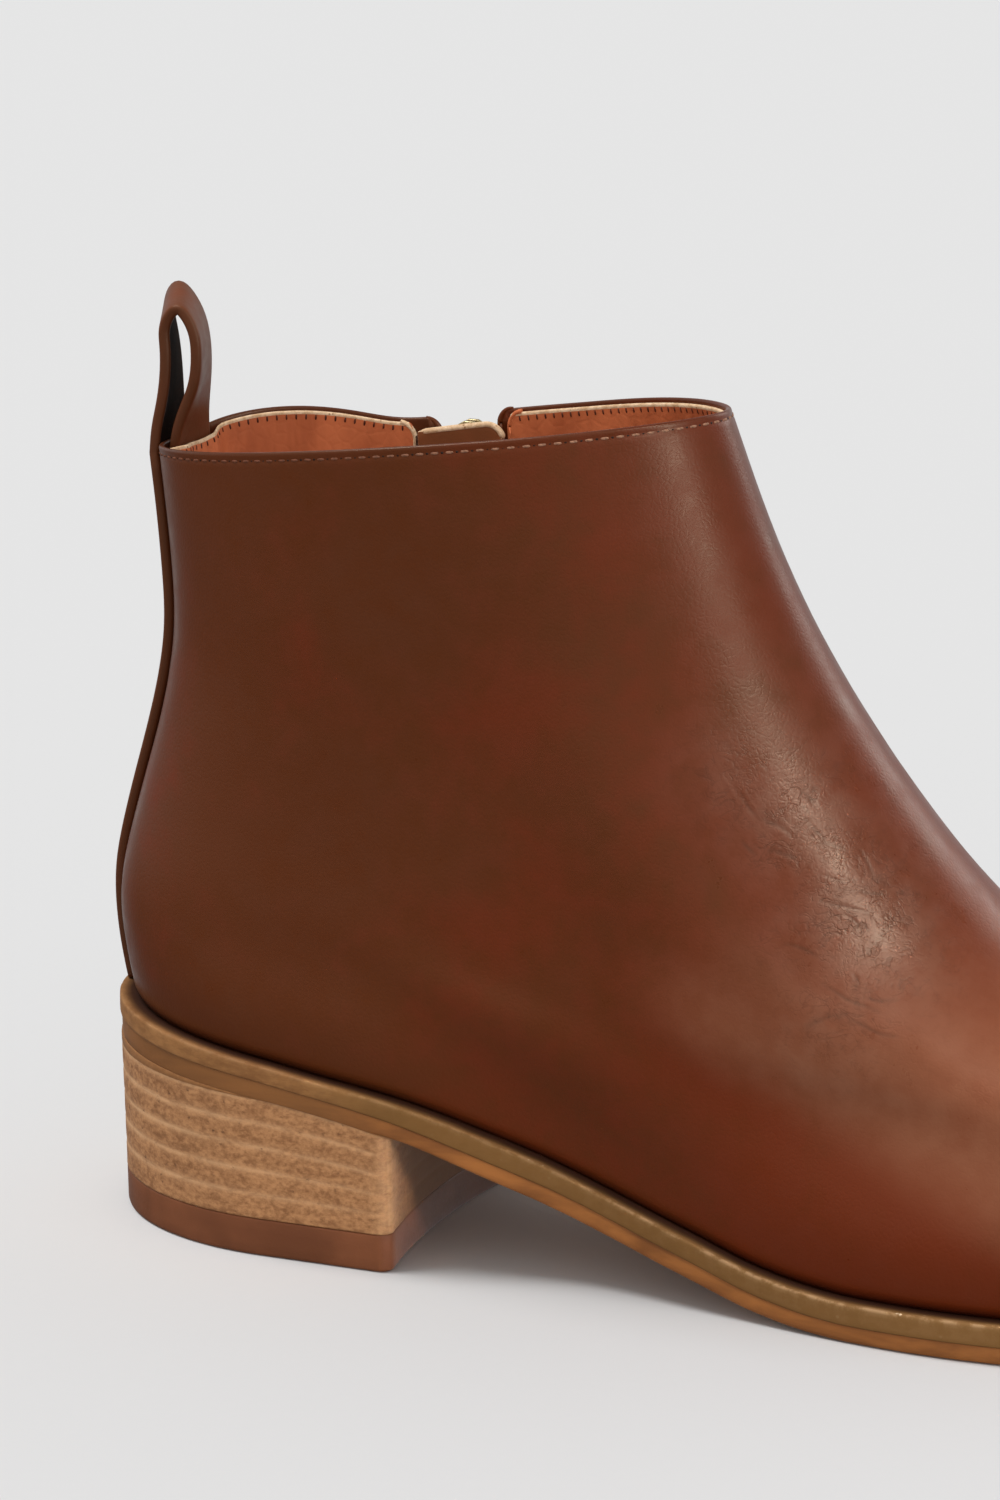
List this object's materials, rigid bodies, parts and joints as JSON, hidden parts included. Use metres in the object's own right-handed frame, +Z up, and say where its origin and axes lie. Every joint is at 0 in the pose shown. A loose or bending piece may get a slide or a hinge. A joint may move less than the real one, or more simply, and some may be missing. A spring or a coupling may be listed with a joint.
{
  "type": "block heel boot",
  "caption": "Right leather ankle boot with a lasted upper, back pull loop, inner side zip, welted leather sole and stacked block heel.",
  "frame": {"origin": "on the floor under the middle of the boot's box", "axes": "+X from the heel to the toe, +Y to the inner side of the foot, +Z up"},
  "size_m": [0.259, 0.0817, 0.1671],
  "materials": {
    "upper_leather": "soft sheen, chestnut",
    "strap_leather": "soft sheen, chestnut, raw edges",
    "insole_leather": "matt, rust",
    "welt_leather": "matt, grey tan",
    "sole_leather": "waxed edge, orange brown",
    "stacked_leather": "stacked layers, tan",
    "top_piece_rubber": "matt, dark red brown",
    "zip_cloth": "woven, dark brown",
    "zip_metal": "antique",
    "guard_leather": "matt, brown"
  },
  "bodies": {
    "boot": {"upper": "upper_leather", "back_strip": "strap_leather", "pull_loop": "strap_leather", "insole": "insole_leather", "welt": "welt_leather", "outsole": "sole_leather", "heel_block": "stacked_leather", "top_piece": "top_piece_rubber", "zip_tape": "zip_cloth", "zip_chain": "zip_metal", "zip_guard": "guard_leather", "zip_slider": "zip_metal"},
    "pull_tab": {"zip_pull": "zip_metal"}
  },
  "joints": [
    {"name": "pull_tab_swing", "type": "hinge", "parent": "boot", "child": "pull_tab", "pos_m": [-0.07191, 0.02423, 0.13538], "axis": [0.9995, 0.0314, 0], "range_deg": [0, 170]}
  ]
}
